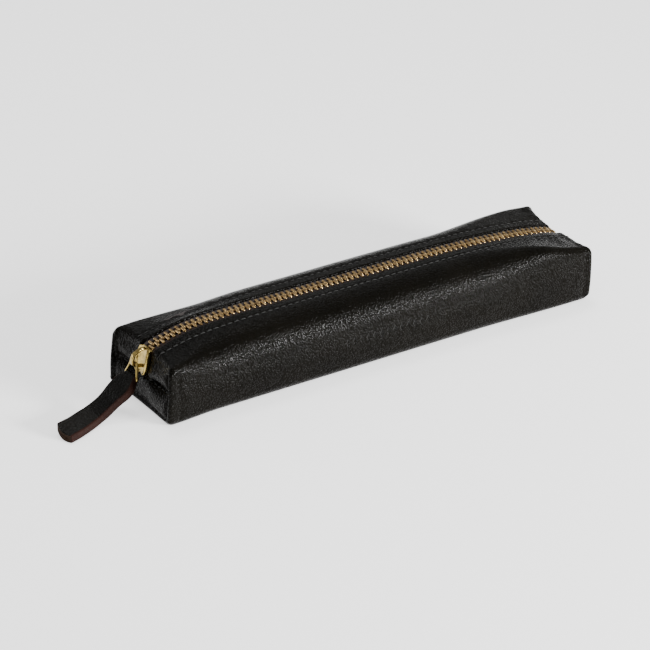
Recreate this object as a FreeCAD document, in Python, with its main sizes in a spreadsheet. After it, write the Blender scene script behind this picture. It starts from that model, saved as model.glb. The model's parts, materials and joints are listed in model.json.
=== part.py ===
import math
import os

import FreeCAD
import Part
from Sketcher import Constraint

# A zipped leather pen case: a long soft box whose zip runs up one end, along the top and down the other
# end.  Millimetres.  Origin: middle of the underside.  +X runs along the case, away from the end where
# the slider rests; the front long side faces -Y; +Z is up.

SIZES = {
    "overrun": 5.0,            # how far a cutting solid stands past what it cuts
    # body of the case
    "half_length": 105.0,      # end faces, at their fullest
    "foot_inset": 2.4,         # how far the end face starts in from there at the table
    "foot_rise": 5.0,          # height at which the end face is fullest
    "shoulder_height": 14.6,   # end face starts to lean in above this
    "end_lean": 3.2,           # inward lean of the end face, shoulder to top edge
    "end_height": 27.2,        # top edge of an end, before rounding
    "ramp_length": 21.0,       # end edge to the knee of the top line
    "knee_height": 30.5,
    "flat_length": 43.0,       # end edge to where the top line is level
    "full_height": 31.4,
    "half_width": 23.4,
    "foot_half_width": 20.8,
    "flank_height": 14.0,      # the flanks are vertical above this
    "foot_radius": 5.0,
    "top_radius": 13.0,
    "edge_radius": 3.5,        # top edge of the ends
    "end_radius": 3.0,         # fullness of the end faces
    "knee_radius": 100.0,
    # layers
    "leather": 1.0,
    "lining": 0.6,
    # mouth
    "lip_half_length": 95.0,
    "hinge_height": 19.85,
    "gap": 0.3,                # between a lip and the shell
    "mouth_half_width": 5.4,   # from the zip's middle line to the leather's edge
    "seam_height": 12.4,       # the zip ends in a seam across each end
    # zip
    "pitch": 2.53,
    "tooth_length": 1.0,       # along the zip
    "tooth_width": 3.1,
    "tooth_height": 2.2,
    "tooth_clear": 0.1,        # from the middle line
    "cord_width": 1.1,
    "cord_height": 1.1,
    "cord_outer": 3.15,
    "cord_clear": 0.15,        # above and below it in the notch of a tooth
    "notch_clear": 0.05,       # beside it
    "tape": 0.5,
    "tape_inner": 3.25,
    "tape_outer": 9.4,
    "tape_clear": 0.05,
    "lining_edge": 9.6,
    "zip_base": 13.0,          # lowest point of the tapes, just above the seam
    # thread
    "thread_radius": 0.25,
    "thread_lift": 0.08,       # clear of what it is sewn to
    "stitch_pitch": 3.2,
    "stitch_length": 2.4,
    "topstitch_offset": 8.9,
    "topstitch_base": 15.4,    # height where the rows start on the end faces
    "seam_thread_height": 11.4,
    "seam_half_width": 18.0,
    # slider, in its own axes: X along the zip, Z away from the case
    "slider_length": 12.0,
    "slider_width": 8.6,
    "tail_width": 8.0,
    "slider_middle": 20.1,     # height of its middle on the end face
    "plate": 1.0,
    "chain_room": 3.1,
    "channel_width": 6.8,
    "slot_height": 0.9,
    "neck_inset": 0.4,         # the wedge that parts the rows starts this far in from the mouth
    "neck_length": 3.4,
    "neck_width": 2.4,
    "neck_point": 0.8,         # its width at the thin end
    "crown_width": 2.0,
    "crown_height": 4.95,
    "crown_bar": 0.9,
    "crown_back": 3.2,         # end of the crown towards the mouth
    "crown_front": 5.4,        # end of the crown towards the tail
    "crown_bevel": 1.2,        # its high corner
    "crown_slope": 3.4,        # run of its sloping side
    "crown_nose": 1.4,         # height of the slope's low end above the plate
    "crown_foot": 1.7,         # its bar, where it meets the plate
    # pull
    "wire_radius": 0.5,
    "pin_length": 5.0,
    "pin_along": -1.2,
    "pin_above": 5.75,
    "eye_radius": 1.05,
    "eye_thickness": 0.8,
    "eye_offset": 1.8,
    "running_gap": 0.06,
    "leg_bite": 0.25,          # how far a leg runs into its eye
    "ring_drop": 6.45,
    "ring_lean": 16.2,         # degrees from hanging straight down
    "bar_half_width": 4.6,
    "strap_width": 9.8,
    "neck_strap_width": 6.0,
    "strap_thickness": 3.7,
    "strap_length": 37.0,
    "strap_wide_from": 3.4,
    "strap_fall": 0.66,        # drop for each millimetre along the neck
    "strap_bend_one": 7.0,     # distances from the bar, and heights of the strap's middle there
    "strap_rise_one": 9.2,
    "strap_bend_two": 13.5,
    "strap_rise_two": 4.6,
    "strap_bend_three": 20.0,
    "loop_radius": 1.6,
    "tip_radius": 4.4,
}

doc = FreeCAD.newDocument("pen_case")
sheet = doc.addObject("Spreadsheet::Sheet", "dims")
for row, (alias, value) in enumerate(SIZES.items(), start=1):
    sheet.set(f"A{row}", str(value))
    sheet.setAlias(f"A{row}", alias)
doc.recompute()

V = FreeCAD.Vector
PLANES = {"side": "XZ_Plane", "section": "YZ_Plane", "plan": "XY_Plane"}
SIDES = ("front", "back")      # of the zip
NODES = []


def size(alias):
    return float(getattr(sheet, alias))


def bind(obj, **expressions):
    """Bind properties of obj to expressions; Base_x stands for Placement.Base.x."""
    for prop, expression in expressions.items():
        obj.setExpression(prop.replace("Base_", "Placement.Base."), expression)
    return obj


def node(obj, name):
    obj.Label = name
    NODES.append(obj)
    return obj


def combine(kind, name, base, tool):
    obj = doc.addObject(kind, name)
    obj.Base = base
    obj.Tool = tool
    return obj


def cut(name, base, tool):
    return combine("Part::Cut", name, base, tool)


def common(name, base, tool):
    return combine("Part::Common", name, base, tool)


def fuse(name, shapes):
    obj = doc.addObject("Part::MultiFuse", name)
    obj.Shapes = shapes
    return obj


def block(name, low, high):
    """A box between two corners, each given as three expressions."""
    obj = doc.addObject("Part::Box", name)
    for axis, prop, a, b in zip("xyz", ("Length", "Width", "Height"), low, high):
        obj.setExpression(prop, f"({b}) - ({a})")
        obj.setExpression(f"Placement.Base.{axis}", a)
    return obj


# ---- sketches and pads -------------------------------------------------------------------------------


def plane_of(body, view):
    return next(f for f in body.Origin.OriginFeatures if f.Role == PLANES[view])


def sketch_on(body, view, name):
    sketch = body.newObject("Sketcher::SketchObject", name)
    sketch.AttachmentSupport = [(plane_of(body, view), "")]
    sketch.MapMode = "FlatFace"
    return sketch


def polygon(body, view, name, corners):
    """A closed outline; each corner is a pair of expressions, bound to the sketch's origin."""
    sketch = sketch_on(body, view, name)
    values = [[float(sheet.evalExpression(c)) for c in corner] for corner in corners]
    count = len(corners)
    for i in range(count):
        a, b = values[i], values[(i + 1) % count]
        sketch.addGeometry(Part.LineSegment(V(a[0], a[1], 0), V(b[0], b[1], 0)))
    for i in range(count):
        sketch.addConstraint(Constraint("Coincident", i, 2, (i + 1) % count, 1))
    for i, corner in enumerate(corners):
        for kind, value, expression in zip(("DistanceX", "DistanceY"), values[i], corner):
            index = sketch.addConstraint(Constraint(kind, -1, 1, i, 1, value))
            sketch.setExpression(f"Constraints[{index}]", expression)
    return sketch


def circle(body, view, name, centre, radius):
    sketch = sketch_on(body, view, name)
    x, y = (float(sheet.evalExpression(c)) for c in centre)
    sketch.addGeometry(Part.Circle(V(x, y, 0), V(0, 0, 1), float(sheet.evalExpression(radius))))
    for kind, value, expression in zip(("DistanceX", "DistanceY"), (x, y), centre):
        index = sketch.addConstraint(Constraint(kind, -1, 1, 0, 3, value))
        sketch.setExpression(f"Constraints[{index}]", expression)
    index = sketch.addConstraint(Constraint("Radius", 0, float(sheet.evalExpression(radius))))
    sketch.setExpression(f"Constraints[{index}]", radius)
    return sketch


def pad(body, name, sketch, length, kind="PartDesign::Pad"):
    """Pad (or pocket) a sketch by the same amount on both sides of its plane."""
    feature = body.newObject(kind, name)
    feature.Profile = sketch
    feature.Midplane = True
    feature.setExpression("Length", length)
    doc.recompute()
    return feature


def round_edges(body, name, base, radius, chosen):
    """Fillet the edges of base that chosen(edge) picks."""
    edges = [f"Edge{i}" for i, e in enumerate(base.Shape.Edges, start=1) if chosen(e)]
    if not edges:
        raise RuntimeError(f"{name}: no edge to round")
    feature = body.newObject("PartDesign::Fillet", name)
    feature.Base = (base, edges)
    feature.setExpression("Radius", radius)
    doc.recompute()
    return feature


def along(axis, *places):
    """Pick the straight edges along axis (0, 1, 2) that pass within 0.5 mm of one of the places."""
    others = [i for i in range(3) if i != axis]

    def chosen(edge):
        ends = [v.Point for v in edge.Vertexes]
        if len(ends) != 2 or abs(ends[0][axis] - ends[1][axis]) < 1.0:
            return False
        if any(abs(ends[0][i] - ends[1][i]) > 1e-4 for i in others):
            return False
        here = [ends[0][i] for i in others]
        return any(math.dist(here, place) < 0.5 for place in places)

    return chosen


def both(x, z):
    return (x, z), (-x, z)


# ---- the case's outline, and layers of it ------------------------------------------------------------


def section_body():
    """The case's rounded cross-section, drawn out past both ends."""
    body = doc.addObject("PartDesign::Body", "section_solid")
    half = ["dims.foot_half_width", "0"], ["dims.half_width", "dims.flank_height"]
    right = [*half, ["dims.half_width", "dims.full_height"]]
    left = [[f"-{y}", z] for y, z in reversed(right)]
    sketch = polygon(body, "section", "section_outline", right + left)
    base = pad(body, "section_pad", sketch, "2 * (dims.half_length + dims.overrun)")
    feet = along(0, *both(size("foot_half_width"), 0))
    base = round_edges(body, "section_feet", base, "dims.foot_radius", feet)
    tops = along(0, *both(size("half_width"), size("full_height")))
    round_edges(body, "section_tops", base, "dims.top_radius", tops)
    return body


def side_body():
    """The case seen from the front, drawn out past both flanks."""
    body = doc.addObject("PartDesign::Body", "side_solid")
    edge = "dims.half_length - dims.end_lean"
    right = [
        ["dims.half_length - dims.foot_inset", "0"],
        ["dims.half_length", "dims.foot_rise"],
        ["dims.half_length", "dims.shoulder_height"],
        [edge, "dims.end_height"],
        [f"{edge} - dims.ramp_length + dims.end_lean", "dims.knee_height"],
        [f"{edge} - dims.flat_length + dims.end_lean", "dims.full_height"],
    ]
    left = [[f"-({x})", z] for x, z in reversed(right)]
    sketch = polygon(body, "side", "side_outline", right + left)
    base = pad(body, "side_pad", sketch, "2 * (dims.half_width + dims.overrun)")
    corners = [[float(sheet.evalExpression(c)) for c in corner] for corner in right]
    # the last corner, where the top line levels off, turns too little to need rounding
    radii = ("end_radius", "end_radius", "end_radius", "edge_radius", "knee_radius")
    for i, (corner, radius) in enumerate(zip(corners, radii)):
        base = round_edges(body, f"side_round_{i}", base, f"dims.{radius}", along(1, *both(*corner)))
    return body


def inset(name, solid, depth):
    """The solid shrunk by depth on every side."""
    obj = doc.addObject("Part::Offset", name)
    obj.Source = solid
    obj.Join = "Intersection"
    return bind(obj, Value=f"-({depth})")


def envelope(name, section, side, depth):
    if depth == "0":
        return common(name, section, side)
    return common(name, inset(f"{name}_section", section, depth), inset(f"{name}_side", side, depth))


def y_range(which, inner, outer):
    """The run from inner to outer on one side of the zip, its low end first."""
    return (f"-({outer})", f"-({inner})") if which == "front" else (inner, outer)


def side_block(name, which, inner, outer, low_z, half_length):
    """A block on one side of the zip that reaches up from low_z past the top."""
    low_y, high_y = y_range(which, inner, outer)
    top = "dims.full_height + dims.overrun"
    return block(name, (f"-({half_length})", low_y, low_z), (half_length, high_y, top))


def shells(section, side):
    """Leather and lining: the shell that stands still, and the two lips that open."""
    outside = envelope("outside", section, side, "0")
    between = envelope("between", section, side, "dims.leather")
    inside = envelope("inside", section, side, "dims.leather + dims.lining")
    layers = {
        "leather": cut("leather_layer", outside, between),
        "lining": cut("lining_layer", between, inside),
    }
    edges = {"leather": "dims.mouth_half_width", "lining": "dims.lining_edge"}
    names = {"leather": "outer_shell", "lining": "shell_lining"}
    past_x, past_y, past_z = (f"(dims.{n} + dims.overrun)"
                              for n in ("half_length", "half_width", "full_height"))
    mouth_x = "(dims.lip_half_length + dims.gap)"
    mouth_low, lip_low = (f"dims.hinge_height {sign} dims.gap / 2" for sign in "-+")
    for layer, solid in layers.items():
        edge = edges[layer]
        mouth = block(f"mouth_{layer}", (f"-{mouth_x}", f"-{past_y}", mouth_low), (mouth_x, past_y, past_z))
        slit = block(f"slit_{layer}", (f"-{past_x}", f"-{edge}", "dims.seam_height"), (past_x, edge, past_z))
        node(cut(names[layer], solid, fuse(f"opening_{layer}", [mouth, slit])), names[layer])
        for which in SIDES:
            region = side_block(f"{which}_{layer}_region", which, edge, past_y, lip_low,
                                "dims.lip_half_length")
            name = f"{which}_lip_{layer}"
            node(common(name, solid, region), name)


# ---- the zip -----------------------------------------------------------------------------------------


def strip(name, side, shallow, deep, inner, outer, which):
    """A strip that follows the zip's line, between two depths below the case's surface."""
    layer = cut(f"{name}_layer", inset(f"{name}_top", side, shallow), inset(f"{name}_under", side, deep))
    region = side_block(f"{name}_region", which, inner, outer, "dims.zip_base",
                        "dims.half_length + dims.overrun")
    node(common(name, layer, region), name)


def tapes(side):
    tape_top = "dims.leather + dims.tape_clear"
    middle = f"({tape_top} + dims.tape / 2)"
    for which in SIDES:
        strip(f"{which}_zip_tape", side, tape_top, f"{tape_top} + dims.tape",
              "dims.tape_inner", "dims.tape_outer", which)
        strip(f"{which}_tape_cord", side, f"{middle} - dims.cord_height / 2",
              f"{middle} + dims.cord_height / 2", "dims.cord_outer - dims.cord_width",
              "dims.cord_outer", which)


def zip_line(side, depth, base):
    """The zip's line at a depth below the surface, as one open wire above the height base."""
    slab = side.Shape.makeOffsetShape(-depth, 1e-3, join=2) if depth else side.Shape
    outline = slab.slice(V(0, 1, 0), 0)[0]
    reach = 2 * size("half_length")
    upper = outline.common(Part.makeBox(2 * reach, 2, reach, V(-reach, -1, base)))
    wire = Part.Wire(Part.__sortEdges__(upper.Edges))
    first, last = wire.OrderedVertexes[0].Point, wire.OrderedVertexes[-1].Point
    return wire, first.x > last.x


def steps(wire, backwards, pitch, start=0.0):
    """Frames at equal steps along a wire that runs from -X to +X: point, tangent, outward normal."""
    count = int((wire.Length - start) / pitch)
    points = wire.discretize(Distance=pitch / 50)
    if backwards:
        points = points[::-1]
    frames = []
    travelled, wanted = 0.0, start
    for a, b in zip(points, points[1:]):
        run = b - a
        if travelled + run.Length >= wanted and len(frames) <= count:
            tangent = V(run).normalize()
            frames.append((a, tangent, tangent.cross(V(0, 1, 0))))
            wanted += pitch
        travelled += run.Length
    return frames


def placed(frame, y):
    """A placement whose X runs along the frame's tangent and Z along its outward normal."""
    point, tangent, normal = frame
    turn = FreeCAD.Rotation(tangent, V(0, 1, 0), normal, "ZXY")
    return FreeCAD.Placement(V(point.x, y, point.z), turn)


def tooth():
    """One tooth of the back row: a head towards the middle line and two legs around the cord."""
    length, width, height = (size(f"tooth_{n}") for n in ("length", "width", "height"))
    inner = size("tooth_clear")
    body = Part.makeBox(length, width, height, V(-length / 2, inner, -height / 2))
    slot = size("cord_height") + 2 * size("cord_clear")
    room = size("cord_outer") - size("cord_width") - size("notch_clear")
    notch = Part.makeBox(2 * length, width, slot, V(-length, room, -slot / 2))
    return body.cut(notch)


def teeth(side):
    depth = size("leather") + size("tape_clear") + size("tape") / 2
    # inside the slider's mouth the rows part, so the rows start past the slider's neck
    base = size("slider_middle")
    wire, backwards = zip_line(side, depth, base)
    pitch = size("pitch")
    back_tooth = tooth()
    front_tooth = back_tooth.mirror(V(0, 0, 0), V(0, 1, 0))
    # the back row's teeth stand in the gaps of the front row's
    for which, one, start in (("front", front_tooth, pitch), ("back", back_tooth, pitch * 1.5)):
        row = []
        for frame in steps(wire, backwards, pitch, start):
            copy = one.copy()
            copy.Placement = placed(frame, 0)
            row.append(copy)
        rows = doc.addObject("Part::Feature", f"{which}_zip_teeth")
        rows.Shape = Part.makeCompound(row)
        node(rows, f"{which}_zip_teeth")


# ---- threads -----------------------------------------------------------------------------------------


def stitch():
    """One stitch along X, a round bar."""
    length = size("stitch_length")
    return Part.makeCylinder(size("thread_radius"), length, V(-length / 2, 0, 0), V(1, 0, 0))


def topstitches(side):
    """A row each side of the zip, lying on the leather."""
    wire, backwards = zip_line(side, 0, size("topstitch_base"))
    lift = size("thread_radius") + size("thread_lift")
    shape = stitch()
    for which, sign in (("front", -1), ("back", 1)):
        row = []
        for point, tangent, normal in steps(wire, backwards, size("stitch_pitch"), size("stitch_pitch")):
            copy = shape.copy()
            copy.Placement = placed((point + normal * lift, tangent, normal), sign * size("topstitch_offset"))
            row.append(copy)
        thread = doc.addObject("Part::Feature", f"{which}_topstitch")
        thread.Shape = Part.makeCompound(row)
        node(thread, f"{which}_topstitch")


def seam_threads():
    """The stitches across each end, on the inside, below the zip."""
    depth = size("leather") + size("lining") + size("thread_radius") + size("thread_lift")
    x = size("half_length") - depth
    z = size("seam_thread_height")
    pitch = size("stitch_pitch")
    count = int(2 * size("seam_half_width") / pitch)
    shape = stitch()
    across = FreeCAD.Rotation(V(0, 0, 1), 90)
    for name, sign in (("near_seam_thread", -1), ("far_seam_thread", 1)):
        row = []
        for i in range(count):
            copy = shape.copy()
            copy.Placement = FreeCAD.Placement(V(sign * x, (i - (count - 1) / 2) * pitch, z), across)
            row.append(copy)
        thread = doc.addObject("Part::Feature", name)
        thread.Shape = Part.makeCompound(row)
        node(thread, name)


# ---- slider and pull ---------------------------------------------------------------------------------


def lean_angle():
    """The end face's slope from the horizontal, in degrees."""
    rise = size("end_height") - size("shoulder_height")
    return math.degrees(math.atan2(rise, size("end_lean")))


def slider_placement():
    """The slider's own axes: origin in the middle of the chain it closes."""
    slope = lean_angle()
    turn = FreeCAD.Rotation(V(0, 1, 0), -slope)
    up = size("slider_middle") - size("shoulder_height")
    face = V(-size("half_length") + up / math.tan(math.radians(slope)), 0, size("slider_middle"))
    depth = size("leather") + size("tape_clear") + size("tape") / 2
    return FreeCAD.Placement(face - turn.multVec(V(0, 0, depth)), turn)


def slider_body():
    body = doc.addObject("PartDesign::Body", "slider_body")
    half, mouth, tail = "dims.slider_length / 2", "dims.slider_width / 2", "dims.tail_width / 2"
    plan = [[f"-{half}", f"-{tail}"], [f"-{half} / 2", f"-{mouth}"], [half, f"-{tail}"],
            [half, tail], [f"-{half} / 2", mouth], [f"-{half}", tail]]
    outline = polygon(body, "plan", "slider_outline", plan)
    base = pad(body, "slider_plates", outline, "dims.chain_room + 2 * dims.plate")
    corners = [(x * size("slider_length") / 2, y * size("tail_width") / 2)
               for x in (-1, 1) for y in (-1, 1)]
    base = round_edges(body, "slider_corners", base, "dims.plate", along(2, *corners))
    room, past_end = "dims.chain_room / 2", "dims.slider_length + dims.overrun"
    channel = polygon(body, "section", "channel_outline",
                      [["-dims.channel_width / 2", f"-{room}"], ["dims.channel_width / 2", f"-{room}"],
                       ["dims.channel_width / 2", room], ["-dims.channel_width / 2", room]])
    pad(body, "channel", channel, past_end, "PartDesign::Pocket")
    mouth_end, point = f"-{half} + dims.neck_inset", f"-{half} + dims.neck_inset + dims.neck_length"
    neck = polygon(body, "plan", "neck_outline",
                   [[mouth_end, "-dims.neck_width / 2"], [point, "-dims.neck_point / 2"],
                    [point, "dims.neck_point / 2"], [mouth_end, "dims.neck_width / 2"]])
    pad(body, "neck", neck, "dims.chain_room + dims.plate")
    # a slot for the tape down each flange: only the neck joins the plates after that
    for which in SIDES:
        low_y, high_y = y_range(which, "dims.channel_width / 3", "dims.slider_width")
        slot = polygon(body, "section", f"{which}_slot_outline",
                       [[low_y, "-dims.slot_height / 2"], [high_y, "-dims.slot_height / 2"],
                        [high_y, "dims.slot_height / 2"], [low_y, "dims.slot_height / 2"]])
        pad(body, f"{which}_slot", slot, past_end, "PartDesign::Pocket")
    body.Placement = slider_placement()
    node(body, "slider_body")


def slider_crown():
    body = doc.addObject("PartDesign::Body", "slider_crown")
    plate_top = "(dims.chain_room / 2 + dims.plate)"
    top = f"{plate_top} + dims.crown_height"
    back, front, bar = "-dims.crown_back", "dims.crown_front", "dims.crown_bar"
    outer = [[back, plate_top], [back, f"{top} - dims.crown_bevel"], [f"{back} + dims.crown_bevel", top],
             [f"{front} - dims.crown_slope", top], [front, f"{plate_top} + dims.crown_nose"],
             [front, plate_top]]
    pad(body, "crown_pad", polygon(body, "side", "crown_outline", outer), "dims.crown_width")
    inner = [[f"{back} + {bar}", f"{plate_top} - {bar}"],
             [f"{back} + {bar}", f"{top} - dims.crown_bevel"],
             [f"{back} + dims.crown_bevel", f"{top} - {bar}"],
             [f"{front} - dims.crown_slope - {bar} / 2", f"{top} - {bar}"],
             [f"{front} - dims.crown_foot", f"{plate_top} + {bar}"],
             [f"{front} - dims.crown_foot", f"{plate_top} - {bar}"]]
    hollow = polygon(body, "side", "crown_eye", inner)
    pad(body, "crown_hollow", hollow, "dims.crown_width + dims.overrun", "PartDesign::Pocket")
    body.Placement = slider_placement()
    node(body, "slider_crown")


def pin_point():
    return slider_placement().multVec(V(size("pin_along"), 0, size("pin_above")))


def link_pin():
    pin = doc.addObject("Part::Cylinder", "link_pin")
    bind(pin, Radius="dims.wire_radius", Height="dims.pin_length")
    start = pin_point() + V(0, -size("pin_length") / 2, 0)
    pin.Placement = FreeCAD.Placement(start, FreeCAD.Rotation(V(1, 0, 0), -90))
    node(pin, "link_pin")


def ring_placement():
    return FreeCAD.Placement(pin_point(), FreeCAD.Rotation(V(0, 1, 0), size("ring_lean")))


def pull_ring():
    """A wire stirrup: an eye on each end of the pin, two flared legs and a straight bar."""
    here = ring_placement()
    level = FreeCAD.Rotation(V(1, 0, 0), -90)
    pieces = []
    drop, half = size("ring_drop"), size("bar_half_width")
    for name, sign in (("front", -1), ("back", 1)):
        y = sign * size("eye_offset")
        eye = doc.addObject("Part::Cylinder", f"eye_{name}")
        bind(eye, Radius="dims.eye_radius", Height="dims.eye_thickness")
        eye.Placement = here * FreeCAD.Placement(V(0, y - size("eye_thickness") / 2, 0), level)
        start, end = V(0, y, -size("eye_radius") + size("leg_bite")), V(0, sign * half, -drop)
        leg = doc.addObject("Part::Cylinder", f"leg_{name}")
        bind(leg, Radius="dims.wire_radius")
        leg.Height = (end - start).Length
        leg.Placement = here * FreeCAD.Placement(start, FreeCAD.Rotation(V(0, 0, 1), end - start))
        corner = doc.addObject("Part::Sphere", f"corner_{name}")
        bind(corner, Radius="dims.wire_radius")
        corner.Placement = here * FreeCAD.Placement(end, FreeCAD.Rotation())
        pieces += [eye, leg, corner]
    bar = doc.addObject("Part::Cylinder", "ring_bar")
    bind(bar, Radius="dims.wire_radius", Height="2 * dims.bar_half_width")
    bar.Placement = here * FreeCAD.Placement(V(0, -half, -drop), level)
    holes = doc.addObject("Part::Cylinder", "eye_holes")
    bind(holes, Radius="dims.wire_radius + dims.running_gap", Height="2 * dims.overrun")
    holes.Placement = here * FreeCAD.Placement(V(0, -size("overrun"), 0), level)
    node(cut("pull_ring", fuse("ring_solid", [*pieces, bar]), holes), "pull_ring")


def bar_point():
    return ring_placement().multVec(V(0, 0, -size("ring_drop")))


def pull_strap():
    """A leather strip folded over the bar and closed on itself: a neck in the ring, then full width."""
    body = doc.addObject("PartDesign::Body", "pull_strap")
    bar = bar_point()
    half = "dims.strap_thickness / 2"

    def band(stations):
        upper = [[x, f"{z} + {half}"] for x, z in stations]
        lower = [[x, f"{z} - {half}"] for x, z in reversed(stations)]
        return upper + lower

    def out(distance):
        return f"{bar.x} - ({distance})"

    start = [out("dims.strap_wide_from"), f"{bar.z} - dims.strap_wide_from * dims.strap_fall"]
    neck = [[out("dims.loop_radius / 4"), f"{bar.z} - dims.loop_radius / 8"], start]
    wide = [start, [out("dims.strap_bend_one"), "dims.strap_rise_one"],
            [out("dims.strap_bend_two"), "dims.strap_rise_two"],
            [out("dims.strap_bend_three"), half], [out("dims.strap_length"), half]]
    base = pad(body, "strap_run", polygon(body, "side", "strap_side", band(wide)), "dims.strap_width")
    tip = bar.x - size("strap_length")
    ends = along(2, (tip, size("strap_width") / 2), (tip, -size("strap_width") / 2))
    round_edges(body, "strap_tip", base, "dims.tip_radius", ends)
    pad(body, "strap_neck", polygon(body, "side", "neck_side", band(neck)), "dims.neck_strap_width")
    centre = (str(bar.x), str(bar.z))
    pad(body, "strap_loop", circle(body, "side", "loop_outline", centre, "dims.loop_radius"),
        "dims.neck_strap_width")
    bore = circle(body, "side", "bar_room", centre, "dims.wire_radius + dims.running_gap")
    pad(body, "strap_bore", bore, "2 * dims.strap_width", "PartDesign::Pocket")
    node(body, "pull_strap")


# ---- build, check, write -----------------------------------------------------------------------------

section_solid = section_body()
side_solid = side_body()
shells(section_solid, side_solid)
tapes(side_solid)
teeth(side_solid)
topstitches(side_solid)
seam_threads()
slider_body()
slider_crown()
link_pin()
pull_ring()
pull_strap()
doc.recompute()

bad = [f"{o.Name}: {o.State}" for o in doc.Objects if {"Invalid", "Error"} & set(o.State)]
for obj in NODES:
    if obj.Shape.isNull() or not obj.Shape.isValid() or not obj.Shape.Solids:
        bad.append(f"{obj.Label}: no valid solid")
if bad:
    raise SystemExit("\n".join(bad))

os.makedirs("parts", exist_ok=True)
for obj in NODES:
    obj.Shape.exportStep(f"parts/{obj.Label}.step")
    print(f"{obj.Label:20s} {len(obj.Shape.Solids):4d} solids {obj.Shape.Volume:10.1f} mm3")
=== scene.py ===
"""A zipped pen case in fine pebbled leather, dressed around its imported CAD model.

Lengths are millimetres up to add_piece(), which turns them into metres.
"""

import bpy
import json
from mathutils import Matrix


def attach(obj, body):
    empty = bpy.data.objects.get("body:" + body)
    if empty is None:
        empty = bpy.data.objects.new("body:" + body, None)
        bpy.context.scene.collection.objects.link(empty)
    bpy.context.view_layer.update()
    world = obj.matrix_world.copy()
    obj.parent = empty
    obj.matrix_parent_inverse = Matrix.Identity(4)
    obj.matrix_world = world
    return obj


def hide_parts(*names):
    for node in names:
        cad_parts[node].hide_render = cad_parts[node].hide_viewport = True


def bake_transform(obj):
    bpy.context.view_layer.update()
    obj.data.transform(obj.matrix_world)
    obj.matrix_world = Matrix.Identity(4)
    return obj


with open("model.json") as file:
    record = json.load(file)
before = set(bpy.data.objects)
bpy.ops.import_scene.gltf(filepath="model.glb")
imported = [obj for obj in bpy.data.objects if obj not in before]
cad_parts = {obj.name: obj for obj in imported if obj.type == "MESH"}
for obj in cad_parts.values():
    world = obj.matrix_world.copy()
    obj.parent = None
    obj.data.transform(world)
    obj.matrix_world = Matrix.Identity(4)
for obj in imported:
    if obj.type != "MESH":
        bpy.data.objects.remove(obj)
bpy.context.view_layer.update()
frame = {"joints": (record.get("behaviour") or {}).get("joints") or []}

import json
import math

import bmesh
import bpy
import numpy as np
from mathutils import Vector, noise
from mathutils.bvhtree import BVHTree

MM = 0.001
FRONT, BACK = -1, 1
SIDES = {"front": FRONT, "back": BACK}
NEAR, FAR = 0, 1
SIGN = {NEAR: -1, FAR: 1}         # of each end's X

# ---- sizes that the CAD model sets ----

JOINTS = {j["name"]: j for j in frame["joints"]}
SHOULDER = (-105.0, 14.6)         # end face: where it starts to lean in, (x, z)
LEAN = (3.2, 12.6)                # its lean from there to the top edge
SLOPE = math.atan2(LEAN[1], LEAN[0])
SEAM_Z = 12.2                     # height of the seam across each end
ZIP_DEPTH = 1.3                   # middle of the chain below the leather's surface
PITCH = 2.53                      # of the teeth
PIN = np.array(JOINTS["slider_tilt"]["pos_m"]) / MM
BAR = np.array(JOINTS["strap_swing"]["pos_m"]) / MM
SLIDER_X = np.array([math.cos(SLOPE), 0.0, math.sin(SLOPE)])     # along the zip, away from the mouth
SLIDER_Z = np.array([-math.sin(SLOPE), 0.0, math.cos(SLOPE)])    # away from the case
PIN_ALONG, PIN_ABOVE = -1.2, 5.75                                # the pin from the slider's middle
SLIDER_AT = PIN - PIN_ALONG * SLIDER_X - PIN_ABOVE * SLIDER_Z


# ---- small helpers ----


def smooth(t):
    """0 up to t = 0, 1 from t = 1, and an even S between them."""
    t = np.clip(t, 0.0, 1.0)
    return t * t * (3 - 2 * t)


def curve_through(knots):
    """A smooth function through (x, value) knots, level at both ends."""
    xs, ys = (np.array(c, float) for c in zip(*knots))
    slopes = np.gradient(ys, xs)

    def at(x):
        x = np.clip(x, xs[0], xs[-1])
        i = np.clip(np.searchsorted(xs, x) - 1, 0, len(xs) - 2)
        width = xs[i + 1] - xs[i]
        t = (x - xs[i]) / width
        a, b = ys[i], ys[i + 1]
        c, d = slopes[i] * width, slopes[i + 1] * width
        return (a * (1 + 2 * t) * (1 - t) ** 2 + b * t * t * (3 - 2 * t)
                + c * t * (1 - t) ** 2 - d * t * t * (1 - t))

    return at


def run_along(points):
    """The distance of each point from the first, along a line of points."""
    return np.concatenate([[0], np.cumsum(np.linalg.norm(np.diff(points, axis=0), axis=1))])


def spline(points, count):
    """count points along a smooth line through the given points, evenly spaced."""
    points = np.array(points, float)
    knots = run_along(points)
    fine = np.linspace(0, knots[-1], 40 * len(points))
    dense = np.stack([curve_through(list(zip(knots, points[:, k])))(fine) for k in range(3)], axis=1)
    run = run_along(dense)
    at = np.linspace(0, run[-1], count)
    return np.stack([np.interp(at, run, dense[:, k]) for k in range(3)], axis=1)


def unit(v):
    return v / np.maximum(np.linalg.norm(v, axis=-1, keepdims=True), 1e-9)


def wobble(points, scale, seed):
    """Soft noise, about -1 to 1, at points in millimetres."""
    shift = Vector((seed * 17.3, seed * 5.1, seed * 9.7))
    return np.array([noise.noise(Vector(p) / scale + shift) for p in points])


def new_object(name, data):
    """An object in the scene."""
    obj = bpy.data.objects.new(name, data)
    bpy.context.scene.collection.objects.link(obj)
    return obj


def add_piece(name, points, faces, materials, face_materials=None):
    """A mesh object from points in millimetres."""
    mesh = bpy.data.meshes.new(name)
    mesh.from_pydata([tuple(p * MM) for p in np.asarray(points, float)], [], faces)
    for item in materials if isinstance(materials, (list, tuple)) else [materials]:
        mesh.materials.append(item)
    if face_materials is not None:
        mesh.polygons.foreach_set("material_index", np.array(face_materials, np.int32))
    mesh.polygons.foreach_set("use_smooth", [True] * len(faces))
    mesh.validate()
    return new_object(name, mesh)


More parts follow.
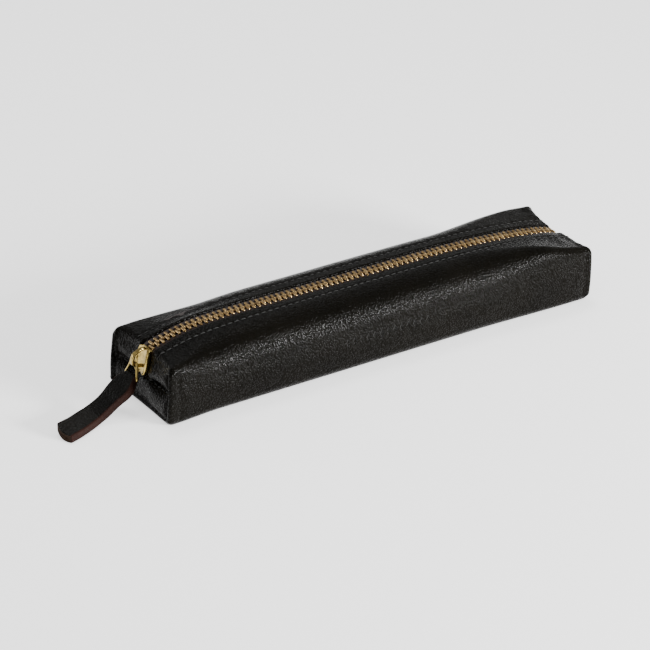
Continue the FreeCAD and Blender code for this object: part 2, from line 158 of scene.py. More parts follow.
def outward(obj):
    """Make the faces of a mesh agree, and point out of it."""
    work = bmesh.new()
    work.from_mesh(obj.data)
    bmesh.ops.recalc_face_normals(work, faces=work.faces)
    work.to_mesh(obj.data)
    work.free()
    return obj


def subdivide(obj):
    """Round a mesh with one level of subdivision, applied."""
    modifier = obj.modifiers.new("subdivision", "SUBSURF")
    modifier.levels = modifier.render_levels = 1
    bpy.context.view_layer.update()
    graph = bpy.context.evaluated_depsgraph_get()
    mesh = bpy.data.meshes.new_from_object(obj.evaluated_get(graph), preserve_all_data_layers=True,
                                           depsgraph=graph)
    obj.modifiers.clear()
    old = obj.data
    obj.data = mesh
    bpy.data.meshes.remove(old)


def grid_faces(rows, columns, closed=False, start=0):
    """Quads of a grid whose points run row by row."""
    faces = []
    wide = columns if closed else columns - 1
    for r in range(rows - 1):
        for c in range(wide):
            d = (c + 1) % columns
            a = start + r * columns
            faces.append((a + c, a + d, a + columns + d, a + columns + c))
    return faces


def tube_faces(rows, ring, start=0):
    """Quads of a tube whose points run ring by ring, and its two end faces."""
    last = start + (rows - 1) * ring
    return grid_faces(rows, ring, closed=True, start=start) + [
        tuple(range(start, start + ring))[::-1], tuple(range(last, last + ring))]


def squarish(half_wide, half_high, power, count):
    """count points round an oval, which is the squarer the lower the power."""
    loop = []
    for k in range(count):
        angle = 2 * math.pi * (k + 0.5) / count
        c, s = math.cos(angle), math.sin(angle)
        loop.append((half_wide * math.copysign(abs(c) ** power, c),
                     half_high * math.copysign(abs(s) ** power, s)))
    return loop


def merged(*parts):
    """Several (points, faces) as one."""
    verts, faces = [], []
    for more, more_faces in parts:
        faces += [tuple(i + len(verts) for i in f) for f in more_faces]
        verts += [tuple(p) for p in more]
    return verts, faces


FOLD_FROM, FOLD_RISE = 12.5, 10.5      # a point's share of a lip's movement rises from this height, over this much of it, where the flank would fold
FREE_HALF, FREE_FADE = 32, 70          # that share is whole this far from the middle, then less and less


def lip_share(points):
    """How far each point follows an opening lip: all of it in the middle of the top, none at the ends."""
    points = np.atleast_2d(points)
    rise = smooth((points[:, 2] - FOLD_FROM) / FOLD_RISE)
    length = 1 - smooth((np.abs(points[:, 0]) - FREE_HALF) / FREE_FADE)
    return rise * length


def bend_with_lip(obj, shares=None):
    """Bake the piece's transform into its mesh, and find the share of each point that would follow a lip, if
    none is given.
    """
    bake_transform(obj)
    if shares is None:
        points = np.array([v.co for v in obj.data.vertices]) / MM
        shares = lip_share(points)


# ---- materials ----


class Nodes:
    """A short way to write a material's nodes."""

    def __init__(self, name):
        self.material = bpy.data.materials.new(name)
        self.material.use_nodes = True
        self.tree = self.material.node_tree
        self.shader = self.tree.nodes["Principled BSDF"]
        self.place = self.tree.nodes.new("ShaderNodeTexCoord").outputs["Object"]

    def fill(self, socket, value):
        """Link a socket to another, or set it to a plain value."""
        if isinstance(value, bpy.types.NodeSocket):
            self.tree.links.new(value, socket)
        else:
            socket.default_value = value

    def node(self, kind, settings=None, **inputs):
        made = self.tree.nodes.new(kind)
        for key, value in (settings or {}).items():
            setattr(made, key, value)
        for key, value in inputs.items():
            self.fill(made.inputs[key.replace("_", " ")], value)
        return made

    def noise(self, scale, detail=3.0, roughness=0.5):
        made = self.node("ShaderNodeTexNoise", Vector=self.place, Scale=scale, Detail=detail,
                         Roughness=roughness)
        return made.outputs["Fac"]

    def cells(self, scale):
        return self.node("ShaderNodeTexVoronoi", Vector=self.place, Scale=scale).outputs["Distance"]

    def ramp(self, source, *stops):
        """stops are (position, grey or colour)."""
        made = self.node("ShaderNodeValToRGB", Fac=source)
        ramp = made.color_ramp
        while len(ramp.elements) < len(stops):
            ramp.elements.new(0.5)
        for element, (position, colour) in zip(ramp.elements, stops):
            element.position = position
            grey = isinstance(colour, (int, float))
            element.color = (colour, colour, colour, 1) if grey else (*colour, 1)
        return made.outputs["Color"]

    def math(self, operation, a, b=0.0):
        made = self.node("ShaderNodeMath", {"operation": operation})
        self.fill(made.inputs[0], a)
        self.fill(made.inputs[1], b)
        return made.outputs[0]

    def bump(self, height, strength, distance, under=None):
        made = self.node("ShaderNodeBump", Height=height, Strength=strength, Distance=distance)
        if under is not None:
            self.fill(made.inputs["Normal"], under)
        return made.outputs["Normal"]

    def finish(self, colour, roughness, normal=None, **settings):
        """Fill the shader's sockets."""
        if normal is not None:
            settings["Normal"] = normal
        for key, value in {"Base_Color": colour, "Roughness": roughness, **settings}.items():
            self.fill(self.shader.inputs[key.replace("_", " ")], value)
        return self.material


# a blind-stamped row of lozenges on the front: middle and half length, middle height, step, half sizes
STAMP = {"middle": -0.95, "half": 21.84, "height": 14.2, "step": 3.36, "wide": 1.4, "high": 2.3}


def stamped_row(n):
    """Two masks of the stamped row: the pressed lozenges, and the burnished rim of each."""
    place = n.node("ShaderNodeSeparateXYZ", Vector=n.place)
    along = n.math("SUBTRACT", place.outputs["X"], (STAMP["middle"] - STAMP["half"]) * MM)
    cell = n.math("FRACT", n.math("DIVIDE", along, STAMP["step"] * MM))
    from_middle = n.math("ABSOLUTE", n.math("SUBTRACT", cell, 0.5))
    across = n.math("MULTIPLY", from_middle, STAMP["step"] / STAMP["wide"])
    rise = n.math("SUBTRACT", place.outputs["Z"], STAMP["height"] * MM)
    up = n.math("DIVIDE", n.math("ABSOLUTE", rise), STAMP["high"] * MM)
    reach = n.math("ADD", across, up)
    pressed = n.ramp(reach, (0.50, 1.0), (0.84, 0.0))
    burnished = n.ramp(reach, (0.50, 0.0), (0.66, 1.0), (0.74, 1.0), (0.90, 0.0))
    off = n.math("SUBTRACT", place.outputs["X"], STAMP["middle"] * MM)
    inside = n.math("LESS_THAN", n.math("ABSOLUTE", off), STAMP["half"] * MM)
    return n.math("MULTIPLY", pressed, inside), n.math("MULTIPLY", burnished, inside)


def leather_material(name, dark, light, grain=1250.0, depth=0.000058, rough=(0.15, 0.24), stamped=False):
    """Fine pebbled leather: small domed cells, soft mottling, and a little wear in the gloss."""
    n = Nodes(name)
    cells = n.cells(grain)
    fine = n.noise(grain * 2.2, 4.0, 0.6)
    undulation = n.noise(140.0, 3.0)
    dome = n.math("MULTIPLY", n.math("MULTIPLY", cells, cells), -4.0)
    pebble = n.math("ADD", dome, n.math("MULTIPLY", fine, 0.22))
    normal = n.bump(undulation, 0.03, 0.0006)
    # light catches the top of each pebble and is lost in the furrows between them
    shine = n.ramp(cells, (0.14, 0.125), (0.50, 0.028))
    if stamped:
        pressed, burnished = stamped_row(n)
        normal = n.bump(n.math("MULTIPLY", pressed, -1.0), 1.0, 0.0006, normal)
        shine = n.math("ADD", shine, n.math("MULTIPLY", burnished, 0.16))
    normal = n.bump(pebble, 1.0, depth, normal)
    mottle = n.noise(45.0, 5.0, 0.6)
    colour = n.ramp(mottle, (0.3, dark), (0.75, light))
    gloss = n.ramp(n.math("ADD", n.math("MULTIPLY", fine, 0.6), n.math("MULTIPLY", mottle, 0.4)),
                   (0.3, rough[0]), (0.75, rough[1]))
    return n.finish(colour, gloss, normal, Specular_IOR_Level=shine)


def cloth_material(name, dark, light, threads=2400.0, sheen=0.15):
    """A plain weave: two crossed sets of fine ribs."""
    n = Nodes(name)
    ribs = []
    for direction in ("X", "Y"):
        wave = n.node("ShaderNodeTexWave", {"bands_direction": direction, "wave_profile": "SIN"},
                      Vector=n.place, Scale=threads / 6.0, Distortion=0.4)
        ribs.append(wave.outputs["Fac"])
    weave = n.math("MAXIMUM", *ribs)
    fuzz = n.noise(threads, 3.0)
    colour = n.ramp(n.math("ADD", n.math("MULTIPLY", weave, 0.6), n.math("MULTIPLY", fuzz, 0.4)),
                    (0.25, dark), (0.8, light))
    normal = n.bump(weave, 0.5, 0.00012, n.bump(fuzz, 0.3, 0.00008))
    return n.finish(colour, 0.9, normal, Sheen_Weight=sheen)


def metal_material(name, dark, light, rough):
    """Plated zip metal: smooth, with faint tumbling marks and tarnish in the low spots."""
    n = Nodes(name)
    scuff = n.noise(2600.0, 4.0, 0.65)
    tarnish = n.noise(420.0, 4.0, 0.6)
    colour = n.ramp(tarnish, (0.28, dark), (0.62, light))
    gloss = n.ramp(scuff, (0.3, rough[0]), (0.7, rough[1]))
    normal = n.bump(scuff, 0.12, 0.00003, n.bump(tarnish, 0.2, 0.00006))
    return n.finish(colour, gloss, normal, Metallic=1.0)


BLACK_TONES = (0.0018, 0.0016, 0.0011), (0.0034, 0.0029, 0.0020)
LEATHER = {"front": leather_material("pebbled_leather_front", *BLACK_TONES, stamped=True),
           "back": leather_material("pebbled_leather_back", *BLACK_TONES)}
STRAP_BLACK = leather_material("strap_leather", (0.004, 0.004, 0.0035), (0.009, 0.008, 0.0065),
                               grain=1400.0, depth=0.00005)
EDGE_PAINT = leather_material("strap_edge", (0.009, 0.004, 0.003), (0.026, 0.010, 0.007), grain=3600.0,
                              depth=0.00005, rough=(0.45, 0.62))
RAW_EDGE = leather_material("strap_raw_edge", (0.014, 0.008, 0.005), (0.045, 0.025, 0.015),
                            grain=3000.0, depth=0.00009, rough=(0.6, 0.8))
THREAD = cloth_material("thread", (0.003, 0.003, 0.0026), (0.009, 0.009, 0.008), threads=7000.0, sheen=0.03)
TAPE = cloth_material("zip_tape", (0.008, 0.0035, 0.0025), (0.026, 0.011, 0.008), threads=5000.0)
LINING = cloth_material("lining_cloth", (0.12, 0.085, 0.055), (0.22, 0.165, 0.115))
BRASS = metal_material("brass", (0.14, 0.08, 0.03), (0.46, 0.32, 0.15), (0.14, 0.30))
PALE_BRASS = metal_material("pale_brass", (0.16, 0.11, 0.03), (0.46, 0.34, 0.11), (0.12, 0.26))


# ---- the leather's shape ----

FULL_HEIGHT = 31.4
TOP_HALF_WIDTH = 23.1             # at the middle of the case
FOOT_HALF_WIDTH = {"front": 23.6, "back": 23.2}
TOP_RADIUS, SQUARE_RADIUS = 13.0, 3.8      # of the shoulders: at the middle, and where an end is square
FOOT_RADIUS, SQUARE_FOOT_RADIUS = 4.4, 3.4
FLANK_FULLNESS = 0.55             # how far the flank swells out
EDGE_Y = 4.5                      # folded leather edge, from the zip's middle line
FOLD = 0.75                       # radius of the folded edge
STITCH_Y = 9.2                    # topstitching, from the zip's middle line
NP, NQ = 26, 30                   # points from the zip to the top corner, and down the flank
HALF_ARC = 9                      # points on half of a rounded corner
COLUMNS = 2 * NP + NQ + 1         # points of a section
STATIONS = 190
CROWDING = 0.055                  # how much closer the stations are towards the ends
ROLL = 6                          # rows round each end's rim
# height of the top corners at each end
EARS = {(NEAR, "front"): 26.2, (NEAR, "back"): 25.6, (FAR, "front"): 24.9, (FAR, "back"): 28.6}

crest = curve_through([(-104, 26.0), (-98, 27.7), (-92, 29.2), (-84, 30.4), (-70, 31.1), (-40, 31.25),
                       (0, 31.4), (44, 31.4), (58, 31.0), (71, 30.2), (84, 29.1), (97, 27.2),
                       (104, 25.6)])


def rounded_corner(before, corner, after, radius):
    """Points on the arc that rounds a corner."""
    a, b = unit(before - corner), unit(after - corner)
    half = math.acos(np.clip(a @ b, -1, 1)) / 2
    reach = radius / math.tan(half)
    centre = corner + unit(a + b) * radius / math.sin(half)
    start, end = corner + a * reach - centre, corner + b * reach - centre
    angle = math.acos(np.clip(unit(start) @ unit(end), -1, 1))
    t = np.linspace(0, 1, 2 * HALF_ARC + 1)[:, None]
    return centre + (start * np.sin((1 - t) * angle) + end * np.sin(t * angle)) / math.sin(angle)


def even(start, end, count):
    """count points from start up to, but not including, end."""
    t = np.linspace(0, 1, count, endpoint=False)[:, None]
    return start * (1 - t) + end * t


def section(x, which):
    """Half of the cross-section at x, from the zip over the flank to the middle of the bottom.

    Returns (y, z) rows, y measured away from the zip: NP steps to the top corner's middle, NQ down the
    flank, NP across the bottom."""
    if x < 0:
        start_x, reach_x = 32, 74
        squareness = smooth((abs(x) - 80) / 24) if which == "front" else smooth((abs(x) - 66) / 37)
    else:
        start_x, reach_x = (70, 36) if which == "front" else (54, 52)
        squareness = smooth((x - 44) / 52)
    far = smooth((abs(x) - start_x) / reach_x) ** 1.15
    ear = EARS[FAR if x > 0 else NEAR, which]
    top = np.array([TOP_HALF_WIDTH + 0.8 * squareness, FULL_HEIGHT + (ear - FULL_HEIGHT) * far])
    foot = np.array([FOOT_HALF_WIDTH[which] + 0.7 * squareness, 0.0])
    start = np.array([EDGE_Y + FOLD, float(crest(x))])
    centre = np.array([0.0, 0.0])
    radius_top = TOP_RADIUS + (SQUARE_RADIUS - TOP_RADIUS) * squareness
    radius_foot = FOOT_RADIUS + (SQUARE_FOOT_RADIUS - FOOT_RADIUS) * squareness
    upper = rounded_corner(start, top, foot, radius_top)
    lower = rounded_corner(top, foot, centre, radius_foot)
    flank_steps = NQ - 2 * HALF_ARC
    flank = even(upper[-1], lower[0], flank_steps)
    flank[:, 0] += FLANK_FULLNESS * np.sin(np.linspace(0, math.pi, flank_steps, endpoint=False))
    return np.concatenate([even(start, upper[0], NP - HALF_ARC), upper[:-1], flank, lower[:-1],
                           even(lower[-1], centre, NP - HALF_ARC), centre[None]])


# per end: how far it reaches at the zip's top, the top corners, the lower corners and under the zip
REACH = {(NEAR, "front"): (102.9, 105.0, 106.9, 106.1), (NEAR, "back"): (102.9, 105.4, 107.8, 106.1),
         (FAR, "front"): (104.8, 106.5, 105.3, 104.8), (FAR, "back"): (104.8, 106.8, 105.3, 104.8)}
# radius of each end's rim: down its upright corners, then at the zip, the top corners and under the zip
RIM_RADIUS = {(NEAR, "front"): 1.3, (NEAR, "back"): 2.2, (FAR, "front"): 2.2, (FAR, "back"): 2.6}
RIM_AT_ZIP, RIM_AT_EAR, RIM_UNDER = 3.4, 2.7, 2.0


def rim(end, which):
    """For each column of a section: how far the end reaches from the middle, and its rim's radius."""
    at_zip, at_ear, at_foot, under = REACH[end, which]
    corner = RIM_RADIUS[end, which]
    top = np.linspace(0, 1, NP, endpoint=False)
    flank = np.linspace(0, 1, NQ, endpoint=False)
    bottom = np.linspace(1, 0, NP + 1)
    reach = np.concatenate([at_zip + (at_ear - at_zip) * smooth((top - 0.2) / 0.8),
                            at_ear + (at_foot - at_ear) * smooth(flank),
                            under + (at_foot - under) * bottom ** 2])
    past_corner = 1 - smooth(flank / 0.3) + smooth((flank - 0.72) / 0.28)
    radius = np.concatenate([RIM_AT_ZIP + (RIM_AT_EAR - RIM_AT_ZIP) * smooth((top - 0.4) / 0.6),
                             corner + (RIM_AT_EAR - corner) * past_corner,
                             RIM_UNDER + (RIM_AT_EAR - RIM_UNDER) * smooth((bottom - 0.5) / 0.5)])
    return reach, radius


SEAM_TUCK = {NEAR: 2.6, FAR: 1.2}      # how deep the seam pulls the end in, at the zip
FOOT_TUCK = 0.6                        # and the foot


def end_face(z, end):
    """How far the end face reaches at the zip, at height z."""
    steep = 1.0 - 0.25 * smooth((z - 20.0) / 6.0) if end == FAR else 1.0
    lean = (z - SHOULDER[1]) * LEAN[0] / LEAN[1] * steep
    upper = -SHOULDER[0] - np.maximum(lean, 0)
    tuck = SEAM_TUCK[end] * np.exp(-np.abs(z - SEAM_Z) / 1.1)
    foot = FOOT_TUCK * (1 - smooth(z / 5.5))
    return upper - tuck - foot


def cap(ring, which, end):
    """The end face inside its rim, as a grid: columns from the zip to the corner, rows downwards."""
    top, outer, bottom = ring[:NP + 1], ring[NP:NP + NQ + 1], ring[NP + NQ:][::-1]
    across = np.linspace(0, 1, NP + 1)
    down = np.linspace(0, 1, NQ + 1)
    z = top[0, 2] * (1 - down) + bottom[0, 2] * down
    y = SIDES[which] * (EDGE_Y + FOLD) * smooth((z - SEAM_Z + 1.2) / 1.4)
    inner = np.stack([SIGN[end] * end_face(z, end), y, z], axis=1)
    inner[0], inner[-1] = top[0], bottom[0]
    a, b = across[None, :, None], down[:, None, None]
    grid = ((1 - b) * top[None] + b * bottom[None] + (1 - a) * inner[:, None] + a * outer[:, None]
            - (1 - a) * (1 - b) * top[0] - a * (1 - b) * top[-1] - (1 - a) * b * bottom[0]
            - a * b * bottom[-1])
    return grid


GROOVE = {"front": 1.3, "back": 0.6}   # depth of the groove beside an upright corner seam
SEAM_DEPTH = 2.8                       # of the tuck across the end face, away from the zip
PILLOWS = 0.8, 0.9                     # how far the face swells above and below that seam


def shape_cap(grid, which, end):
    """Tuck the seam in across the end face, and sink a groove beside the upright corner seam."""
    inward = np.abs(grid[:, -1:, 1] - grid[:, :, 1])
    z = grid[:, :, 2]
    below_top, above_foot = grid[:1, :, 2] - z, z - grid[-1:, :, 2]
    free = smooth(below_top / 4.0) * smooth(above_foot / 2.5)
    groove = GROOVE[which] * np.exp(-(((inward - 1.5) / 0.7) ** 2)) * free
    across = smooth(inward / 6.0)
    past_zip = smooth((np.abs(grid[:, :, 1]) - EDGE_Y) / 3.0)
    # the seam climbs a little towards the corner
    seam = SEAM_Z + 0.10 * np.maximum(19.0 - inward, 0.0)
    tuck = SEAM_DEPTH * np.exp(-np.abs(z - seam) / (0.8 + 0.9 * across)) * (0.2 + 0.8 * across) * past_zip
    pillow = PILLOWS[0] * np.sin(math.pi * np.clip((z - SEAM_Z) / 14, 0, 1)) * across * free
    pillow += (PILLOWS[1] * np.sin(math.pi * np.clip(z / SEAM_Z, 0, 1)) ** 0.7 * smooth(inward / 3.0)
               * free)
    depth = groove + tuck - pillow * past_zip
    depth[:, -1] = 0
    depth[0] = 0
    depth[-1] = 0
    grid[:, :, 0] -= SIGN[end] * depth
    return grid


MIDDLE = np.array([8.0, 13.0])         # a place well inside half a section, (y, z)


def leather_grid(which, detailed=True):
    """Rows of the leather from one end's rim to the other's, and the two end faces."""
    side = SIDES[which]
    (near_reach, near_radius), (far_reach, far_radius) = rim(NEAR, which), rim(FAR, which)
    rows = []
    t = np.linspace(0, 1, STATIONS)
    for share in t - CROWDING * np.sin(2 * math.pi * t):
        x = -(near_reach - near_radius) * (1 - share) + (far_reach - far_radius) * share
        outline = section(float(x.mean()), which)
        rows.append(np.stack([x, side * outline[:, 0], outline[:, 1]], axis=1))
    for end in (NEAR, FAR):
        base = rows[0 if end == NEAR else -1]
        flat = np.stack([np.abs(base[:, 1]), base[:, 2]], axis=1)
        along = np.gradient(flat, axis=0)
        inwards = unit(np.stack([-along[:, 1], along[:, 0]], axis=1)) * -1
        inwards[np.sum(inwards * (MIDDLE - flat), axis=1) < 0] *= -1
        inwards[0], inwards[-1] = (0, -1), (0, 1)
        radius = far_radius if end == FAR else near_radius
        ring_rows = []
        for k in range(1, ROLL + 1):
            angle = math.pi / 2 * k / ROLL
            moved = flat + inwards * (radius * (1 - math.cos(angle)))[:, None]
            x = base[:, 0] + SIGN[end] * radius * math.sin(angle)
            ring_rows.append(np.stack([x, side * moved[:, 0], moved[:, 1]], axis=1))
        rows = rows + ring_rows if end == FAR else ring_rows[::-1] + rows
    caps = [cap(rows[0], which, NEAR), cap(rows[-1], which, FAR)]
    if detailed:
        caps = [shape_cap(grid, which, end) for end, grid in enumerate(caps)]
    return np.array(rows), caps


EDGE_END = SEAM_Z - 0.9                # the zip and the folded edges beside it end at this height


def zip_edge(rows, caps):
    """The line of the leather beside the zip, from the near seam over the top to the far seam."""
    near, far = ([p for p in caps[end][1:, 0] if p[2] > EDGE_END] for end in (NEAR, FAR))
    return np.array(near[::-1] + list(rows[:, 0]) + far)


def off_the_case(along):
    """The outward direction at each direction along the zip, whose last column is its z."""
    return np.stack([-along[:, -1], np.zeros(len(along)), along[:, 0]], axis=1)


def leather_mesh(which, rows, caps, with_fold=True):
    """Points and faces of one half of the leather."""
    count, columns = rows.shape[:2]
    points = [p for row in rows for p in row]
    faces = grid_faces(count, columns)
    edge = {}
    for end, grid in enumerate(caps):
        ring = 0 if end == NEAR else (count - 1) * columns
        index = -np.ones(grid.shape[:2], int)
        index[0] = ring + np.arange(NP + 1)
        index[:, -1] = ring + NP + np.arange(NQ + 1)
        index[-1] = ring + columns - 1 - np.arange(NP + 1)
        for j in range(NQ + 1):
            for i in range(NP + 1):
                if index[j, i] < 0:
                    index[j, i] = len(points)
                    points.append(grid[j, i])
        for j in range(NQ):
            for i in range(NP):
                face = (index[j, i], index[j, i + 1], index[j + 1, i + 1], index[j + 1, i])
                faces.append(face if end == FAR else face[::-1])
        edge[end] = [index[j, 0] for j in range(1, NQ + 1) if grid[j, 0, 2] > EDGE_END]
    if with_fold:
        line = edge[NEAR][::-1] + [r * columns for r in range(count)] + edge[FAR]
        at = np.array([points[i] for i in line])
        along = unit(np.gradient(at[:, [0, 2]], axis=0))
        normal = off_the_case(along)
        towards = np.array([0.0, -SIDES[which], 0.0])
        before = line
        # the edge is turned under, in six steps of half a turn
        for k in range(1, 7):
            angle = math.radians(30 * k)
            moved = at + towards * FOLD * math.sin(angle) - normal * FOLD * (1 - math.cos(angle))
            new = [len(points) + n for n in range(len(line))]
            points += list(moved)
            faces += [(before[n], before[n + 1], new[n + 1], new[n]) for n in range(len(line) - 1)]
            before = new
    return np.array(points), faces


def normals_of(points, faces):
    """The outward normal at each point of a mesh of quads."""
    quads = np.array(faces)
    a, b, c, d = (points[quads[:, k]] for k in range(4))
    face_normals = np.cross(c - a, d - b)
    total = np.zeros_like(points)
    for k in range(4):
        np.add.at(total, quads[:, k], face_normals)
    total = unit(total)
    probe = len(points) // 3
    outward_there = points[probe] - (0.0, 0.0, MIDDLE[1])
    return total if total[probe] @ outward_there >= 0 else -total


# heights of the small shapes in the leather: long and short waves, the furrow of the stitching and the
# puckers beside it, the dip beside an upright seam and the seam's ridge, and the creases that fan out
# from an ear
LONG_WAVE, SHORT_WAVE, FURROW, PUCKER, DIP, RIDGE = 0.13, 0.012, 0.22, 0.07, 0.30, 0.45
FAN = {NEAR: 0.05, FAR: 0.16}
FAN_CREASES = 15                       # in each radian
PUCKER_PITCH = 6.4


def crease(points, normals, which):
    """Small folds and hollows that soft leather has: none where it lies on the table."""
    move = (LONG_WAVE * wobble(points, 30.0, 3 + SIDES[which])
            + SHORT_WAVE * wobble(points, 8.0, 11 + SIDES[which]))
    x, y, z = points.T
    away = np.abs(y)
    sewn = z > SEAM_Z + 2
    move -= FURROW * np.exp(-(((away - STITCH_Y) / 0.8) ** 2)) * sewn
    pucker = np.exp(-(((away - STITCH_Y - 1.2) / 2.2) ** 2)) * sewn
    move += PUCKER * pucker * np.cos(2 * math.pi * x / PUCKER_PITCH)
    for end, sign in SIGN.items():
        beside = sign * x - REACH[end, which][1] + RIM_RADIUS[end, which] + 2.2
        move -= DIP * np.exp(-((beside / 1.3) ** 2)) * smooth((away - 19) / 2) * smooth((25 - z) / 5)
        from_ridge = np.hypot(sign * x - REACH[end, which][2] + 0.5, away - 23.5)
        move += RIDGE * np.exp(-((from_ridge / 1.1) ** 2)) * smooth((25 - z) / 3)
        offset = points - (sign * 103.5, SIDES[which] * 22.5, EARS[end, which] - 1.5)
        distance = np.linalg.norm(offset, axis=1)
        angle = np.arctan2(offset[:, 2], -sign * offset[:, 0])
        fan = np.exp(-((distance - 9) / 7.5) ** 2) * smooth(distance / 3.0)
        strength = FAN[end] * smooth((REACH[end, which][1] - sign * x) / 3)
        move += strength * fan * np.sin(angle * FAN_CREASES + 2.0 * wobble(points, 9.0, 5 + end))
    move *= smooth(z / 3.0)
    return points + normals * move[:, None]


def build_leather(which):
    rows, caps = leather_grid(which)
    points, faces = leather_mesh(which, rows, caps)
    points = crease(points, normals_of(points, faces), which)
    obj = outward(add_piece(f"leather_{which}", points, faces, LEATHER[which]))
    subdivide(obj)
    bend_with_lip(obj)
    return obj, rows, caps


LINING_EDGE = 9.0                      # from the zip's middle line
LINING_SHRINK, LINING_LIFT = (0.955, 0.90, 0.885), 1.7


def build_lining(which):
    """Cloth just inside the leather, from beyond the zip tape down to the bottom."""
    rows, caps = leather_grid(which, detailed=False)
    points, faces = leather_mesh(which, rows, caps, with_fold=False)
    keep = ~((np.abs(points[:, 1]) < LINING_EDGE) & (points[:, 2] > SEAM_Z))
    faces = [f for f in faces if all(keep[i] for i in f)]
    points = points * LINING_SHRINK + (0, 0, LINING_LIFT)
    obj = outward(add_piece(f"lining_{which}", points, faces, LINING))
    bend_with_lip(obj)
    return obj


leathers, grids, linings = {}, {}, {}
for which in SIDES:
    leathers[which], *grids[which] = build_leather(which)
    linings[which] = build_lining(which)
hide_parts("outer_shell", "front_lip_leather")
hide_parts("back_lip_leather")
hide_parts("shell_lining", "front_lip_lining")
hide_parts("back_lip_lining")


# ---- zip: tapes and teeth ----

# stations of a tooth, from its head to its claws: (across the zip, half length, half height)
TOOTH_PLAN = [(-0.95, 0.18, 0.5), (-0.82, 0.42, 0.8), (-0.4, 0.60, 1.0), (0.1, 0.62, 1.1),
              (0.7, 0.58, 1.1), (1.3, 0.54, 1.12), (2.0, 0.66, 1.22), (2.7, 0.72, 1.22),
              (3.0, 0.60, 1.0), (3.12, 0.25, 0.5)]
TOOTH_RING = 10                        # points round a tooth
TEETH_END = 4.2                        # the chain stops this far before the far end of the tapes
# section of a tape and its beaded cord: (across the zip, height)
TAPE_SECTION = [(2.0, 0.0), (2.15, 0.42), (2.55, 0.6), (2.95, 0.45), (3.2, 0.25), (5.0, 0.25), (8.0, 0.22),
                (11.5, 0.2), (11.5, -0.2), (8.0, -0.22), (5.0, -0.25), (3.2, -0.25), (2.95, -0.45),
                (2.55, -0.6), (2.15, -0.42)]


def follow(points, step):
    """Even steps along a line of points: positions, tangents and run."""
    run = run_along(points)
    at = np.arange(0, run[-1], step)
    even_points = np.stack([np.interp(at, run, points[:, k]) for k in range(3)], axis=1)
    tangents = unit(np.gradient(even_points, axis=0))
    return even_points, tangents, at


def zip_path(step=0.2):
    """The chain's middle line, from the near seam over the top to the far seam, with its outward side."""
    edge = zip_edge(*grids["front"]) * (1, 0, 1)
    # the leather's far edge rolls out past the chain, which turns straight down the end face
    below_top = (edge[:, 0] > 0) & (edge[:, 2] < 25.6)
    edge[below_top, 0] = np.minimum(edge[below_top, 0], end_face(edge[below_top, 2], FAR))
    points, tangents, _ = follow(edge, step)
    for _ in range(12):
        points[1:-1] = (points[:-2] + 2 * points[1:-1] + points[2:]) / 4
    tangents = unit(np.gradient(points, axis=0))
    points, tangents, at = follow(points - off_the_case(tangents) * ZIP_DEPTH, step)
    return points, tangents, off_the_case(tangents), at


ZIP = zip_path()


def at_run(run):
    """Position, tangent and outward side at a distance along the zip."""
    points, tangents, outwards, at = ZIP
    pick = [np.array([np.interp(run, at, a[:, k]) for k in range(3)]) for a in (points, tangents, outwards)]
    return pick[0], unit(pick[1]), unit(pick[2])


def build_tape(which):
    side = SIDES[which]
    points, _, outwards, at = ZIP
    points, outwards, at = points[::5], outwards[::5], at[::5]
    # the tape's ends narrow to pass under the seams
    from_end = np.minimum(at, at[-1] - at)
    widest = 4.6 + 7.0 * smooth((from_end - 3.5) / 6.0)
    verts = []
    for centre, out, limit in zip(points, outwards, widest):
        for across, high in TAPE_SECTION:
            verts.append(centre + np.array([0, side * min(across, limit), 0]) + out * high)
    faces = tube_faces(len(points), len(TAPE_SECTION))
    obj = outward(add_piece(f"tape_{which}", verts, faces, TAPE))
    bend_with_lip(obj)
    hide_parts(f"{which}_zip_tape", f"{which}_tape_cord")


def build_teeth(which):
    """A row of cast teeth with rounded heads that reach between the heads of the other row."""
    side = SIDES[which]
    first = np.interp(SLIDER_AT[2] - 1.0, ZIP[0][:60, 2], ZIP[3][:60])
    start = first + (PITCH / 2 if which == "front" else PITCH)
    verts, faces, shares = [], [], []
    for run in np.arange(start, ZIP[3][-1] - TEETH_END, PITCH):
        centre, tangent, out = at_run(run)
        base = len(verts)
        for across, half_length, half_height in TOOTH_PLAN:
            for along, high in squarish(half_length, half_height, 0.6, TOOTH_RING):
                verts.append(centre + tangent * along + out * high + np.array([0, side * across, 0]))
        faces += tube_faces(len(TOOTH_PLAN), TOOTH_RING, start=base)
        shares += [float(lip_share(centre + out * ZIP_DEPTH)[0])] * (len(verts) - base)
    obj = outward(add_piece(f"teeth_{which}", verts, faces, BRASS))
    bend_with_lip(obj, shares)
    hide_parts(f"{which}_zip_teeth")


for which in SIDES:
    build_tape(which)
    build_teeth(which)


# ---- threads ----

STITCH_PITCH, STITCH_LENGTH, THREAD_R = 3.2, 2.6, 0.27
STITCH_DIP = 0.55                      # how deep a stitch's ends go in
TOP_LIFT = {"front": 0.12, "back": -0.02}      # of a stitch's middle above the leather
SEAM_LIFT = 0.1


def surface_line(which, away):
    """The line on the leather at a distance from the zip, from the near seam over the top to the far seam."""
    rows, caps = grids[which]
    line = []

    def crossing(points):
        reach = np.abs(points[:, 1])
        for k in range(len(points) - 1):
            if reach[k] <= away < reach[k + 1]:
                t = (away - reach[k]) / (reach[k + 1] - reach[k])
                return points[k] * (1 - t) + points[k + 1] * t

    for end in (NEAR, FAR):
        down = [crossing(row) for row in caps[end][1:] if row[0, 2] > SEAM_Z + 2.5]
        over = [crossing(row[:NP + 6]) for row in rows]
        line = line + over + down if end == FAR else line + down[::-1]
    return np.array([p for p in line if p is not None])


